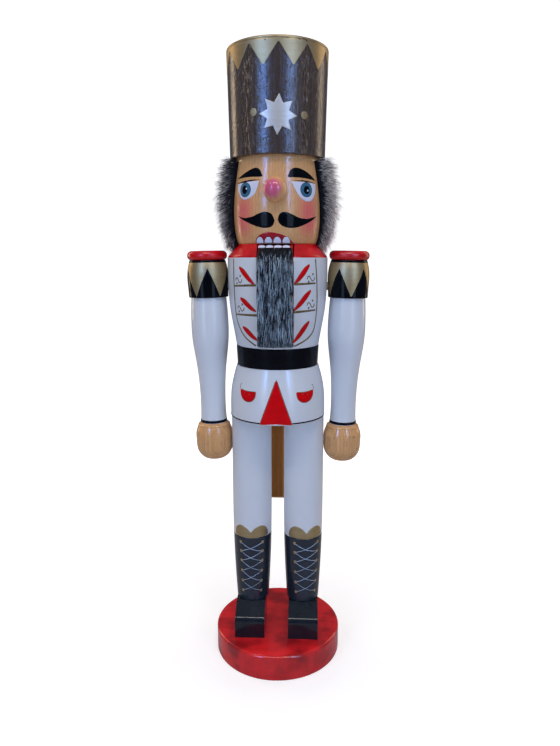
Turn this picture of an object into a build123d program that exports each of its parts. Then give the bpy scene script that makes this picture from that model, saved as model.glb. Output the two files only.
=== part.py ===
from build123d import *
import os

# Standing nutcracker figure in turned and painted wood, millimetres.
# +Z is up, the figure faces -Y, and the origin is the middle of the base's underside.

# ---- driving dimensions ----
# heights of the joints between the stacked pieces
base_top = 40.0
foot_top = 88.0
skirt_bottom = 393.0
belt_bottom = 473.0
torso_bottom = 503.0
collar_bottom = 632.0
head_bottom = 651.0
hat_bottom = 769.0
hat_top = 914.0

# radii of the turned pieces at their ends
base_radius = 100.0
skirt_radius = 72.3
waist_radius = 62.0
chest_radius = 74.0
collar_top_radius = 57.8
head_radius = 65.2
crown_radius = 59.8
hat_bottom_radius = 68.2
hat_top_radius = 71.4

# legs and feet
leg_x = 40.6
foot_x = 42.0
foot_width = 46.5
toe_y = -53.0
toe_height = 31.0
instep_y = -24.0
heel_y = 24.0

# arms: each one leans out by arm_tilt about its middle
arm_x = 103.4
arm_y = 8.0
arm_tilt = 1.2
arm_middle = 480.0
fist_bottom = 319.0
wrist = 378.0
sleeve_top = 573.0
cuff_top = 628.0
cap_top = 642.0

# mouth: a block and a lever in a slot, swinging on a pin across the chest
slot_width = 52.0
jaw_width = 48.0
pin_y = 5.0
pin_z = 610.0
pin_radius = 3.0
pin_half_length = 56.0
pin_clearance = 0.05
jaw_gap = 1.0
jaw_front_gap = 0.9
slot_floor = 566.0
groove_y = -34.0
collar_notch_y = 2.0
lever_width = 46.0
lever_thickness = 16.0
lever_front_y = 76.3
lever_bottom = 221.0
lever_top = 603.0

# fur
beard_width = 49.0
beard_bottom = 536.0
fur_gap = 0.4
hair_front_angle = 62.0
hair_bottom = 646.0

# fixings
dowel_radius = 6.0
screw_recess = 3.0


# ---- helpers ----
def turned(points, smooth=True, start=None, end=None):
    """Solid turned about Z. points are (radius, height) from the bottom to the top."""
    path = [(radius, 0, height) for radius, height in points]
    if smooth and start:
        side = Spline(*path, tangents=[start, end])
    elif smooth:
        side = Spline(*path)
    else:
        side = Polyline(*path)
    corners = [path[-1], (0, 0, path[-1][2]), (0, 0, path[0][2]), path[0]]
    corners = [p for i, p in enumerate(corners) if i == 0 or p != corners[i - 1]]
    outline = side.edges() + Polyline(*corners).edges()
    return revolve(make_face(outline), Axis.Z)


def round_end(shape, radius, top=True):
    """Fillet the outer edge at the top or the bottom of a turned piece."""
    ring = shape.edges().group_by(Axis.Z)[-1 if top else 0]
    return fillet(ring.filter_by(GeomType.CIRCLE), radius)


def upright(radius, bottom, top, x=0.0, y=0.0):
    """Upright dowel between two heights."""
    return Pos(x, y, (bottom + top) / 2) * Cylinder(radius, top - bottom)


def crosswise(radius, x_from, x_to, y, z):
    """Dowel or pin that lies along X."""
    middle = Pos((x_from + x_to) / 2, y, z)
    return middle * Rot(0, 90, 0) * Cylinder(radius, abs(x_to - x_from))


def block(x_half, y_from, y_to, z_from, z_to):
    """Box centred on x = 0."""
    centre = Pos(0, (y_from + y_to) / 2, (z_from + z_to) / 2)
    return centre * Box(2 * x_half, y_to - y_from, z_to - z_from)


def side_plate(points, width):
    """Plate with a side outline of (y, z) points, centred on x = 0."""
    outline = Polyline(*[(0, y, z) for y, z in points], close=True)
    return extrude(make_face(outline), width / 2, dir=(1, 0, 0), both=True)


def screw(length, head_radius=6.0, shank_radius=2.6):
    """Countersunk wood screw, head down at z = 0, point up."""
    head_height = head_radius - shank_radius
    point_height = 3 * shank_radius
    return turned([(head_radius, 0), (shank_radius, head_height),
                   (shank_radius, length - point_height), (0, length)], smooth=False)


def mirrored(shape):
    """The same piece on the other side of the figure."""
    return mirror(shape, Plane.YZ)


def on_arm(shape):
    """Place a piece modelled on the Z axis, at its true height, on the right arm's axis."""
    return Pos(arm_x, arm_y, arm_middle) * Rot(0, arm_tilt, 0) * Pos(0, 0, -arm_middle) * shape


def pair(shape):
    """A piece and its mirror image, as one group of two separate solids."""
    return Compound(children=shape.solids() + mirrored(shape).solids())


# ---- fixings ----
leg_screw = Pos(leg_x, 0, screw_recess) * screw(112)
toe_screw = Pos(foot_x, toe_y + 18, screw_recess) * screw(52)
hip_dowel = upright(8, skirt_bottom - 32, skirt_bottom + 32, leg_x)
waist_dowel = upright(12.5, belt_bottom - 33, torso_bottom + 32, 0, 8)
neck_dowel = upright(5, collar_bottom - 16, head_bottom + 20, 42, 14)
hat_dowel = upright(10, hat_bottom - 32, hat_bottom + 32)
shoulder_dowel = crosswise(dowel_radius, 42, 98, arm_y, 590)
wrist_dowel = on_arm(upright(5, wrist - 26, wrist + 26))
sleeve_dowel = on_arm(upright(dowel_radius, sleeve_top - 28, cuff_top + 7))
jaw_pin = crosswise(pin_radius, -pin_half_length, pin_half_length, pin_y, pin_z)


# ---- base, feet and legs ----
def make_base():
    disc = upright(base_radius, 0, base_top)
    disc = round_end(disc, 4)
    disc = round_end(disc, 1.5, top=False)
    wells = upright(6, 0, screw_recess, leg_x) + upright(6, 0, screw_recess, foot_x, toe_y + 18)
    for fixing in (leg_screw, toe_screw, wells):
        disc = disc - fixing - mirrored(fixing)
    return disc


def make_foot():
    outline = [(toe_y, base_top), (toe_y, base_top + toe_height), (instep_y, foot_top),
               (heel_y, foot_top), (heel_y, base_top)]
    foot = Pos(foot_x, 0, 0) * side_plate(outline, foot_width)
    toe_edge = foot.edges().filter_by(Axis.X).sort_by(Axis.Y)[:2].sort_by(Axis.Z)[-1]
    foot = fillet(toe_edge, 12)
    heel_edges = foot.edges().filter_by(Axis.Z).sort_by(Axis.Y)[-2:]
    foot = fillet(heel_edges, 14)
    return foot - leg_screw - toe_screw


def make_leg():
    leg = turned([(25.4, foot_top), (28.2, 139), (30.2, 195), (31.0, 262), (31.0, skirt_bottom)])
    return Pos(leg_x, 0, 0) * leg - leg_screw - hip_dowel


# ---- body ----
def make_skirt():
    skirt = turned([(skirt_radius, skirt_bottom), (skirt_radius, 415), (70.9, 436), (67.4, 454),
                    (waist_radius, belt_bottom)])
    skirt = round_end(skirt, 2, top=False)
    return skirt - hip_dowel - mirrored(hip_dowel) - waist_dowel


def make_belt():
    belt = turned([(waist_radius - 1, belt_bottom), (waist_radius + 0.5, torso_bottom)], smooth=False)
    return round_end(round_end(belt, 1.5), 1, top=False) - waist_dowel


def make_torso():
    torso = turned([(waist_radius, torso_bottom), (66.4, 529), (70.9, 556), (73.3, 585),
                    (chest_radius, collar_bottom)])
    torso = round_end(torso, 1.5, top=False)
    half = slot_width / 2
    torso = torso - block(half, -base_radius, base_radius, slot_floor, collar_bottom + 1)
    torso = torso - block(half, -base_radius, groove_y, torso_bottom + 3, collar_bottom + 1)
    for fixing in (shoulder_dowel, neck_dowel):
        torso = torso - fixing - mirrored(fixing)
    return torso - waist_dowel - jaw_pin


def make_collar():
    collar = turned([(chest_radius - 0.8, collar_bottom), (chest_radius - 0.8, collar_bottom + 2),
                     (collar_top_radius, head_bottom)], smooth=False)
    rims = collar.edges().filter_by(GeomType.CIRCLE).sort_by(Axis.Z)[:2]
    collar = fillet(rims[1], 4)
    notch = block(slot_width / 2, -base_radius, collar_notch_y, collar_bottom - 1, head_bottom + 1)
    return collar - notch - neck_dowel - mirrored(neck_dowel)


# ---- mouth: jaw block and lever, one moving body ----
def make_jaw_block():
    top = head_bottom - jaw_gap
    outline = [(-base_radius, top), (-8, top), (-8, 626), (20, 626), (lever_front_y, lever_top),
               (lever_front_y, 573), (40, 573), (8, 590), (-38, 590), (-46, 583), (-base_radius, 583)]
    plate = side_plate(outline, jaw_width)
    envelope = turned([(chest_radius - jaw_front_gap, 560), (chest_radius - jaw_front_gap, collar_bottom + 1),
                       (collar_top_radius - jaw_front_gap, head_bottom)], smooth=False)
    front = plate & block(jaw_width, -base_radius, pin_y, 560, head_bottom) & envelope
    rear = plate & block(jaw_width, pin_y, base_radius, 560, head_bottom)
    bore = crosswise(pin_radius + pin_clearance, -jaw_width, jaw_width, pin_y, pin_z)
    return front + rear - bore - lever_screws()


def make_lever():
    back = lever_front_y + lever_thickness
    board = block(lever_width / 2, lever_front_y, back, lever_bottom, lever_top)
    grip_edges = board.edges().group_by(Axis.Z)[0]
    board = chamfer(grip_edges.filter_by(Axis.X), 4)
    long_edges = board.edges().filter_by(Axis.Z)
    return fillet(long_edges, 2) - lever_screws()


def lever_screws():
    """Two screws from the back of the lever into the end of the jaw block."""
    back = lever_front_y + lever_thickness
    one = Pos(12, back, 588) * Rot(90, 0, 0) * screw(44, head_radius=4.5, shank_radius=2.2)
    return pair(one)


def make_beard():
    face = -(chest_radius - jaw_front_gap) - fur_gap
    top = head_bottom - jaw_gap - 5
    top_face = -(collar_top_radius + 6)
    shoulder = collar_bottom + 2
    outline = [(top_face, top), (face, shoulder), (face, beard_bottom), (face - 6, beard_bottom - 2),
               (face - 10, 560), (face - 9, shoulder), (top_face - 7, top)]
    return side_plate(outline, beard_width)


# ---- head and hat ----
head_profile = [(58.2, head_bottom), (62.8, 668), (65.1, 692), (head_radius, 712), (63.0, 742),
                (crown_radius, hat_bottom)]


def make_head():
    head = round_end(turned(head_profile), 3, top=False)
    return head - neck_dowel - mirrored(neck_dowel) - hat_dowel


def make_nose():
    ball = Pos(0, -head_radius - 3, 722.5) * Sphere(16.5)
    return ball - turned(head_profile)


def make_hair():
    inner = Spline(*[(radius + fur_gap, 0, height) for radius, height in
                     [(66.0, hair_bottom), (65.2, 692), (head_radius, 712), (63.2, 742),
                      (60.2, hat_bottom - 1)]])
    outer = Spline((60.6, 0, hat_bottom - 1), (84, 0, 758), (92.5, 0, 715), (89, 0, 668), (74, 0, hair_bottom))
    bottom = Line(outer @ 1, inner @ 0)
    section = make_face(inner.edges() + outer.edges() + bottom.edges())
    arc = 360 - 2 * hair_front_angle
    return Rot(0, 0, hair_front_angle - 90) * revolve(section, Axis.Z, arc)


def make_hat():
    hat = turned([(hat_bottom_radius, hat_bottom), (hat_top_radius, hat_top)], smooth=False)
    return round_end(round_end(hat, 3), 1.2, top=False) - hat_dowel


# ---- arms ----
def make_arm():
    arm = turned([(20.6, wrist), (19.5, 418), (23.3, 473), (27.8, 510), (28.3, 538), (26.4, sleeve_top)])
    return on_arm(arm) - wrist_dowel - sleeve_dowel


def make_fist():
    fist = turned([(0, fist_bottom), (17, fist_bottom + 1.6), (26.7, 332), (28.9, 350), (27.7, 366),
                   (25.2, 373), (20.4, wrist)], start=(1, 0, 0), end=(-0.86, 0, 0.5))
    return on_arm(fist) - wrist_dowel


def make_cuff():
    cuff = turned([(29.6, sleeve_top), (30.6, 592), (30.9, 608), (29.6, 618), (26.6, cuff_top)])
    return on_arm(round_end(cuff, 1.2, top=False)) - sleeve_dowel - shoulder_dowel


def make_cap():
    cap = upright(29.9, cuff_top, cap_top)
    cap = round_end(cap, 6.5)
    return on_arm(round_end(cap, 6.5, top=False)) - sleeve_dowel


# ---- write one file for each node ----
single_pieces = {
    "base_disc": make_base(),
    "skirt_block": make_skirt(),
    "belt_block": make_belt(),
    "torso": make_torso(),
    "collar": make_collar(),
    "head": make_head(),
    "nose": make_nose(),
    "hair": make_hair(),
    "hat": make_hat(),
    "waist_dowel": waist_dowel,
    "hat_dowel": hat_dowel,
    "jaw_pin": jaw_pin,
    "jaw_block": make_jaw_block(),
    "jaw_lever": make_lever(),
    "lever_screws": lever_screws(),
    "beard": make_beard(),
}
sided_pieces = {
    "foot": make_foot(),
    "leg": make_leg(),
    "arm": make_arm(),
    "fist": make_fist(),
    "shoulder_cuff": make_cuff(),
    "shoulder_cap": make_cap(),
}
paired_fixings = {
    "leg_screws": leg_screw,
    "toe_screws": toe_screw,
    "hip_dowels": hip_dowel,
    "neck_dowels": neck_dowel,
    "shoulder_dowels": shoulder_dowel,
    "sleeve_dowels": sleeve_dowel,
    "wrist_dowels": wrist_dowel,
}

nodes = dict(single_pieces)
for name, piece in sided_pieces.items():
    nodes["right_" + name] = piece
    nodes["left_" + name] = mirrored(piece)
for name, piece in paired_fixings.items():
    nodes[name] = pair(piece)

os.makedirs("parts", exist_ok=True)
for name, piece in nodes.items():
    export_step(piece, "parts/" + name + ".step")
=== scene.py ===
import math

import bmesh
import bpy
import numpy as np
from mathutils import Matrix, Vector
from mathutils.bvhtree import BVHTree


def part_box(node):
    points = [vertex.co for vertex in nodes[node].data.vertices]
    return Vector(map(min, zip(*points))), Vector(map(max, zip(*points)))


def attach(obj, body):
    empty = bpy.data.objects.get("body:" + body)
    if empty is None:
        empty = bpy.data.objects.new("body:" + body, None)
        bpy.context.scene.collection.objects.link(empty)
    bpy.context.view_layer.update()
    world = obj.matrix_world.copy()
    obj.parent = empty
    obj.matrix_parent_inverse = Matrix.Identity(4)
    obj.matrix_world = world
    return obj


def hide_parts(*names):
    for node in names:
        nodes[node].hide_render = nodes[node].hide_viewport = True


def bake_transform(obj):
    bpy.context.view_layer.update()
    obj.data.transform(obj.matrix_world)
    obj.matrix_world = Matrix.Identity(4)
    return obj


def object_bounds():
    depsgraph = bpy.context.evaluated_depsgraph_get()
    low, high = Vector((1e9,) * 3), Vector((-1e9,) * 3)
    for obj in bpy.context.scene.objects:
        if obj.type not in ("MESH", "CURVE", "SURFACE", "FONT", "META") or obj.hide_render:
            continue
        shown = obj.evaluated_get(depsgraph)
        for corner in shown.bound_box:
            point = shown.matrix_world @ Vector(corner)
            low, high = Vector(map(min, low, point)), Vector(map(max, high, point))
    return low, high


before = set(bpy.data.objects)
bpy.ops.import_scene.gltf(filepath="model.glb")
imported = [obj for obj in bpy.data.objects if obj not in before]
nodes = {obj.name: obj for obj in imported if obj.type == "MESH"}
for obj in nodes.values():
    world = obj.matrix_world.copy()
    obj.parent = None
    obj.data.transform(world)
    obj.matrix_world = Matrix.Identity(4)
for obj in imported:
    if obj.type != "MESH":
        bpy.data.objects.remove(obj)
cadLow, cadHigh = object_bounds()

mm = 0.001
figureHeight = cadHigh.z


# Camera, floor and light
view = {
    "azimuth": 3.0,         # degrees round to the figure's left hand
    "distance": 1.0046,     # times the figure's height, along the floor
    "height": 0.6919,       # times the figure's height
    "pitch": 10.79,         # degrees down
    "yaw": 0.22,            # degrees to the right of the figure's middle
    "lens": 29.3,
}

studio = {
    "floorTone": (0.50, 0.50, 0.52),
    "glowNear": 0.62, "glowFar": 1.0,       # what the floor adds for the camera, near the figure and far
    "glowReach": (0.12, 0.9),               # metres from the figure over which that changes
    "floorDepth": 3.0,      # metres of floor behind the figure before the wall rises
    "floorWidth": 7.0,
    "wallHeight": 4.0,
    "sweep": 1.2,           # radius of the curve from floor to wall
    "skyFront": (0.060, 0.080, 0.125),
    "skyBack": (0.17, 0.16, 0.155),
    "skyAbove": (0.30, 0.30, 0.33),
}

softboxes = [
    # name, azimuth round the figure, height, distance, width, height of the panel, power, colour,
    # whether it lights the surface, whether it shows in the gloss
    ("overhead", 10, 2.6, 0.6, 1.5, 1.5, 13.5, (1.0, 0.95, 0.89), True, False),
    ("leftWindow", -31, 0.95, 2.3, 0.66, 2.0, 14, (0.46, 0.64, 1.0), True, True),
    ("rightWindow", 35, 0.95, 2.3, 0.66, 2.0, 14.5, (0.50, 0.66, 1.0), True, True),
    ("leftPane", -29, 1.35, 2.0, 0.15, 1.1, 17, (0.07, 0.28, 1.0), False, True),
    ("rightPane", 31, 1.35, 2.0, 0.12, 1.1, 11, (0.12, 0.34, 1.0), False, True),
    ("leftSide", -118, 1.1, 1.9, 0.4, 1.6, 9, (1.0, 0.77, 0.54), True, True),
    ("rightSide", 120, 1.1, 1.9, 0.36, 1.6, 7.5, (1.0, 0.80, 0.60), True, True),
    ("leftLamp", -50, 2.3, 1.6, 0.15, 0.15, 5.5, (1.0, 0.90, 0.78), True, True),
    ("rightLamp", 26, 2.5, 1.4, 0.15, 0.15, 5.5, (1.0, 0.92, 0.82), True, True),
    ("topStrip", 5, 3.0, 1.7, 2.6, 0.16, 30, (1.0, 0.96, 0.92), False, True),
    ("back", 180, 1.6, 2.2, 1.6, 1.0, 10, (1.0, 0.97, 0.93), True, False),
]


def aroundFigure(azimuth, distance, height):
    turn = math.radians(azimuth)
    return Vector((distance * math.sin(turn), -distance * math.cos(turn), height))


def makeCamera():
    data = bpy.data.cameras.new("camera")
    data.lens = view["lens"]
    data.sensor_width = 36
    camera = bpy.data.objects.new("camera", data)
    bpy.context.scene.collection.objects.link(camera)
    camera.location = aroundFigure(view["azimuth"], view["distance"] * figureHeight,
                                   view["height"] * figureHeight)
    camera.rotation_euler = (math.radians(90 - view["pitch"]), 0,
                             math.radians(view["azimuth"] - view["yaw"]))
    bpy.context.scene.camera = camera


def makeLights():
    for name, azimuth, height, distance, width, tall, power, colour, lights, shines in softboxes:
        data = bpy.data.lights.new(name, "AREA")
        data.shape = "RECTANGLE"
        data.size = width
        data.size_y = tall
        data.energy = power
        data.color = colour
        lamp = bpy.data.objects.new(name, data)
        bpy.context.scene.collection.objects.link(lamp)
        lamp.visible_diffuse = lights
        lamp.visible_glossy = shines
        lamp.location = aroundFigure(azimuth, distance, height)
        target = Vector((0, 0, 0.5 * figureHeight))
        lamp.rotation_euler = (target - lamp.location).to_track_quat("-Z", "Y").to_euler()


# White for the camera, and a softer sky for the light: cool in front, warm behind and above.
def makeWorld():
    world = bpy.data.worlds.new("studio")
    bpy.context.scene.world = world
    world.use_nodes = True
    tree = world.node_tree
    tree.nodes.clear()
    out = tree.nodes.new("ShaderNodeOutputWorld")
    coords = tree.nodes.new("ShaderNodeTexCoord")
    parts = tree.nodes.new("ShaderNodeSeparateXYZ")
    tree.links.new(coords.outputs["Generated"], parts.inputs[0])
    behind = ramp(tree, parts.outputs["Y"], -1.0, 1.0)
    above = ramp(tree, parts.outputs["Z"], 0.25, 1.0)
    sky = mixColour(tree, behind, studio["skyFront"], studio["skyBack"])
    sky = mixColour(tree, above, sky, studio["skyAbove"])
    path = tree.nodes.new("ShaderNodeLightPath")
    shown = mixColour(tree, path.outputs["Is Camera Ray"], sky, (1, 1, 1))
    glow = addNode(tree, "ShaderNodeBackground", {"Color": shown, "Strength": 1.0})
    tree.links.new(glow.outputs[0], out.inputs["Surface"])


# A floor that curves up into a wall: the profile is flat, then a quarter circle, then straight.
def makeFloor():
    depth, sweep = studio["floorDepth"], studio["sweep"]
    turn = np.linspace(0, math.pi / 2, 24)
    alongY = np.concatenate([[-4.0], depth + sweep * np.sin(turn), [depth + sweep]])
    alongZ = np.concatenate([[0.0], sweep - sweep * np.cos(turn), [studio["wallHeight"]]])
    alongX = np.array([-0.5, 0.5]) * studio["floorWidth"]
    x, y = np.meshgrid(alongX, alongY)
    z = np.repeat(alongZ[:, None], 2, axis=1)
    floor = meshObject("floor", np.stack([x, y, z], axis=-1).reshape(-1, 3), gridFaces(len(alongY), 2))
    floor.data.materials.append(floorMaterial())


# Meshes from grids
# Quads of a grid whose points are numbered row by row; a closed direction joins its last line to
# its first.
def gridFaces(rows, columns, closeRows=False, closeColumns=False):
    r = np.arange(rows if closeRows else rows - 1)
    c = np.arange(columns if closeColumns else columns - 1)
    r, c = (a.ravel() for a in np.meshgrid(r, c, indexing="ij"))
    nextRow, nextColumn = (r + 1) % rows, (c + 1) % columns
    return np.stack([r * columns + c, r * columns + nextColumn,
                     nextRow * columns + nextColumn, nextRow * columns + c], axis=1)


def meshObject(name, points, faces):
    mesh = bpy.data.meshes.new(name)
    mesh.from_pydata(points.tolist(), [], faces.tolist())
    mesh.polygons.foreach_set("use_smooth", np.full(len(mesh.polygons), True))
    mesh.update()
    made = bpy.data.objects.new(name, mesh)
    bpy.context.scene.collection.objects.link(made)
    return made


# Joins the points that lie on each other, drops collapsed faces and turns every face outwards.
def outwardNormals(piece, mergeWithin=1e-7):
    work = bmesh.new()
    work.from_mesh(piece.data)
    bmesh.ops.remove_doubles(work, verts=work.verts, dist=mergeWithin)
    bmesh.ops.dissolve_degenerate(work, edges=work.edges, dist=mergeWithin)
    bmesh.ops.recalc_face_normals(work, faces=work.faces)
    work.to_mesh(piece.data)
    work.free()


# Catmull-Rom curve through the points, evenly spaced; at a point in corners one curve ends and the next
# begins, so it stays sharp.
def smoothCurve(points, count, closed=False, corners=()):
    points = np.array(points, float)
    breaks = [0, *corners, len(points) - 1]
    runs = [points[first:last + 1] for first, last in zip(breaks[:-1], breaks[1:])]
    t = np.linspace(0, 1, 24, endpoint=False)[:, None, None]
    curve = []
    for run in [points] if closed else runs:
        around = np.concatenate([run[-1:], run, run[:2]] if closed else [run[:1], run, run[-1:]])
        a, b, c, d = around[:-3], around[1:-2], around[2:-1], around[3:]
        bend = 0.5 * (2 * b + (c - a) * t + (2 * a - 5 * b + 4 * c - d) * t ** 2
                      + (3 * b - a - 3 * c + d) * t ** 3)
        curve.append(bend.transpose(1, 0, 2).reshape(-1, points.shape[1]))
    curve = np.concatenate([*curve, c[-1:]])
    steps = np.linalg.norm(np.diff(curve, axis=0), axis=1)
    along = np.concatenate([[0], np.cumsum(steps)])
    at = np.linspace(0, along[-1], count + 1 if closed else count)
    even = np.stack([np.interp(at, along, curve[:, k]) for k in range(curve.shape[1])], axis=1)
    return even[:-1] if closed else even


# Turned surfaces, and paint laid on them
def middleOf(node):
    low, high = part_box(node)
    return (low + high) / 2


feeler = {
    "levels": 140,
    "inset": 0.1,       # mm from the piece's ends to the first and last level
    "reach": 0.3,       # metres from the axis to where a ray starts
}


# The outside of a turned node: its radius at each height, felt by rays towards the axis that runs
# from low to high. facing and spread say at which angles, in degrees from the front.
def turnedSurface(node, low=None, high=None, facing=0.0, spread=(-6, 6)):
    boxLow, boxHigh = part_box(node)
    bottom, top = boxLow.z, boxHigh.z
    low = low or Vector((0, 0, bottom))
    high = high or Vector((0, 0, top))
    mesh = nodes[node].data
    tree = BVHTree.FromPolygons([v.co for v in mesh.vertices], [tuple(p.vertices) for p in mesh.polygons])
    axis = (high - low).normalized()
    side = (Vector((1, 0, 0)) - axis * axis.x).normalized()
    front = -axis.cross(side)
    levels = np.linspace(bottom + feeler["inset"] * mm, top - feeler["inset"] * mm, feeler["levels"])
    radii = []
    for level in levels:
        centre = low + (high - low) * ((level - low.z) / (high.z - low.z))
        found = []
        for turn in spread:
            angle = math.radians(facing + turn)
            out = side * math.sin(angle) + front * math.cos(angle)
            hit = tree.ray_cast(centre + out * feeler["reach"], -out)
            if hit[0] is not None:
                found.append((hit[0] - centre).length)
        radii.append(max(found) if found else 0.0)
    radii = np.array(radii)
    felt = radii > 0        # past the end of a leaning piece its last radius holds
    radii = np.interp(levels, levels[felt], radii[felt])
    return {"low": np.array(low), "high": np.array(high), "side": np.array(side),
            "front": np.array(front), "levels": levels, "radii": radii,
            "bottom": bottom, "top": top, "turned": 0.0}


# The axis's place at a level, and the way straight out from it at an angle.
def axisAt(surface, level):
    share = (level - surface["low"][2]) / (surface["high"][2] - surface["low"][2])
    return surface["low"] + share[..., None] * (surface["high"] - surface["low"])


def wayOut(surface, angle):
    return np.sin(angle)[..., None] * surface["side"] + np.cos(angle)[..., None] * surface["front"]


# The piece's radius in metres at heights in mm above its bottom.
def radiusAt(surface, height):
    return np.interp(surface["bottom"] + height * mm, surface["levels"], surface["radii"])


# Points at an angle (radians, 0 in front) and a height above the node's bottom, lifted off the
# surface.
def onSurface(surface, angle, height, lift):
    level = surface["bottom"] + height
    radius = np.interp(level, surface["levels"], surface["radii"]) + lift
    angle = angle + math.radians(surface["turned"])
    return axisAt(surface, level) + radius[..., None] * wayOut(surface, angle)


paintPots = {}
sunk = 0.06         # mm that the edge of a paint patch goes below the surface
under = 0.35        # mm that its hidden back lies below the surface
leafEdge = 0.8      # mm over which a leaf's face rises from its rim
roundEdge = 0.6     # the same for a blob and a band


def pourInto(pot, points, faces):
    held = paintPots.setdefault(pot, {"points": [], "faces": [], "count": 0})
    held["points"].append(points.reshape(-1, 3))
    held["faces"].append(faces + held["count"])
    held["count"] += points.size // 3


# A closed patch from a grid of places in mm: its face is lifted, its back is buried, and its rims
# meet below the surface.
def layGrid(pot, surface, across, height, lift, reach, closeRows=False):
    rise = np.where(reach > 0, lift * np.minimum(1, np.sqrt(reach)), 0) - np.where(reach > 0, 0, sunk)
    fall = np.where(reach > 0, -under, -sunk)
    acrossBoth = np.concatenate([across, across[:, -2:0:-1]], axis=1)
    heightBoth = np.concatenate([height, height[:, -2:0:-1]], axis=1)
    liftBoth = np.concatenate([rise, fall[:, -2:0:-1]], axis=1)
    angle = acrossBoth * mm / radiusAt(surface, heightBoth)
    points = onSurface(surface, angle, heightBoth * mm, liftBoth * mm)
    rows, columns = acrossBoth.shape
    pourInto(pot, points, gridFaces(rows, columns, closeRows, closeColumns=True))


# Places across a strip, and how far each is from its rims, as a share of the paint's edge.
def edgeReach(width, rows):
    v = np.array([0, 0.05, 0.14, 0.3, 0.5, 0.7, 0.86, 0.95, 1])
    near = np.minimum(v, 1 - v)[None, :] * width[:, None]
    return np.repeat(v[None, :], rows, axis=0), np.clip(near / leafEdge, 0, 1)


# A patch between an upper and a lower curve that share both ends; the places are (mm round the
# piece, mm up).
def paintLeaf(pot, surface, upper, lower, lift=0.3, count=56, corners=((), ())):
    top = smoothCurve(upper, count, corners=corners[0])
    bottom = smoothCurve(lower, count, corners=corners[1])
    width = np.linalg.norm(top - bottom, axis=1)
    share, reach = edgeReach(width, count)
    length = np.linalg.norm(top[-1] - top[0])
    t = np.linspace(0, 1, count)
    ends = np.clip(np.minimum(t, 1 - t) * length / leafEdge, 0, 1)
    grid = bottom[:, None, :] + share[..., None] * (top - bottom)[:, None, :]
    layGrid(pot, surface, grid[..., 0], grid[..., 1], lift, reach * ends[:, None])


# A brush line along a path. width is one number, or one for each point of the path; the ends are
# round.
def paintStroke(pot, surface, path, width, lift=0.3, count=None, corners=(), closed=False):
    path = np.array(path, float)
    widths = np.full(len(path), width, float) if np.isscalar(width) else np.array(width, float)
    length = np.linalg.norm(np.diff(path, axis=0), axis=1).sum()
    count = count or max(10, int(length / 1.2))
    line = smoothCurve(np.column_stack([path, widths]), count, closed, corners)
    ahead = np.gradient(line[:, :2], axis=0)
    if closed:
        ahead = (np.roll(line[:, :2], -1, axis=0) - np.roll(line[:, :2], 1, axis=0)) / 2
    ahead /= np.maximum(np.linalg.norm(ahead, axis=1, keepdims=True), 1e-9)
    away = np.stack([-ahead[:, 1], ahead[:, 0]], axis=1)
    half = line[:, 2] / 2
    if not closed:
        along = np.linspace(0, length, count)
        left = np.minimum(along, length - along)
        half = half * np.sqrt(np.clip(1 - (1 - np.clip(left / np.maximum(half, 0.05), 0, 1)) ** 2, 0, 1))
    v = np.array([-1, -0.85, -0.5, 0, 0.5, 0.85, 1])
    grid = line[:, None, :2] + v[None, :, None] * half[:, None, None] * away[:, None, :]
    reach = np.repeat((1 - v[None, :] ** 2), count, axis=0) * np.clip(half / 0.4, 0, 1)[:, None]
    layGrid(pot, surface, grid[..., 0], grid[..., 1], lift, reach, closeRows=closed)


# A patch inside a closed outline, laid in rings from its middle.
def paintBlob(pot, surface, outline, middle, lift=0.3):
    outline = np.array(outline, float)
    size = np.linalg.norm(outline - middle, axis=1).max()
    rings = np.concatenate([np.linspace(0, 1, max(4, int(size / 3)), endpoint=False),
                            1 - np.array([0.6, 0.25, 0.08, 0]) / max(size, 1)])
    rings = np.unique(np.clip(rings, 0, 1))
    grid = np.array(middle) + rings[None, :, None] * (outline - middle)[:, None, :]
    reach = np.clip((1 - rings) * size / roundEdge, 0, 1)
    rise = np.where(reach > 0, lift * np.sqrt(reach), -sunk)
    across = np.concatenate([grid[..., 0], grid[:, -2::-1, 0]], axis=1)
    height = np.concatenate([grid[..., 1], grid[:, -2::-1, 1]], axis=1)
    lifts = np.concatenate([rise, np.full(len(rings) - 1, -under)])
    angle = across * mm / radiusAt(surface, height)
    points = onSurface(surface, angle, height * mm, lifts[None, :] * mm)
    pourInto(pot, points, gridFaces(*across.shape, closeRows=True))


# A closed profile of (radius, height) in mm, turned once round the piece's axis.
def turnedRing(pot, surface, profile, count=120):
    profile = np.array(profile, float)
    angle = np.linspace(0, 2 * math.pi, count, endpoint=False)[:, None]
    radius, height = profile[None, :, 0] * mm, profile[None, :, 1] * mm
    centre = axisAt(surface, surface["bottom"] + height)
    points = centre + radius[..., None] * wayOut(surface, angle)
    pourInto(pot, points, gridFaces(count, len(profile), closeRows=True, closeColumns=True))


def oval(middle, wide, tall, count=40):
    turn = np.linspace(0, 2 * math.pi, count, endpoint=False)
    return np.stack([middle[0] + wide / 2 * np.cos(turn), middle[1] + tall / 2 * np.sin(turn)], axis=1)


def paintOval(pot, surface, middle, wide, tall, lift=0.3, count=40):
    paintBlob(pot, surface, oval(middle, wide, tall, count), middle, lift)


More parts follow.
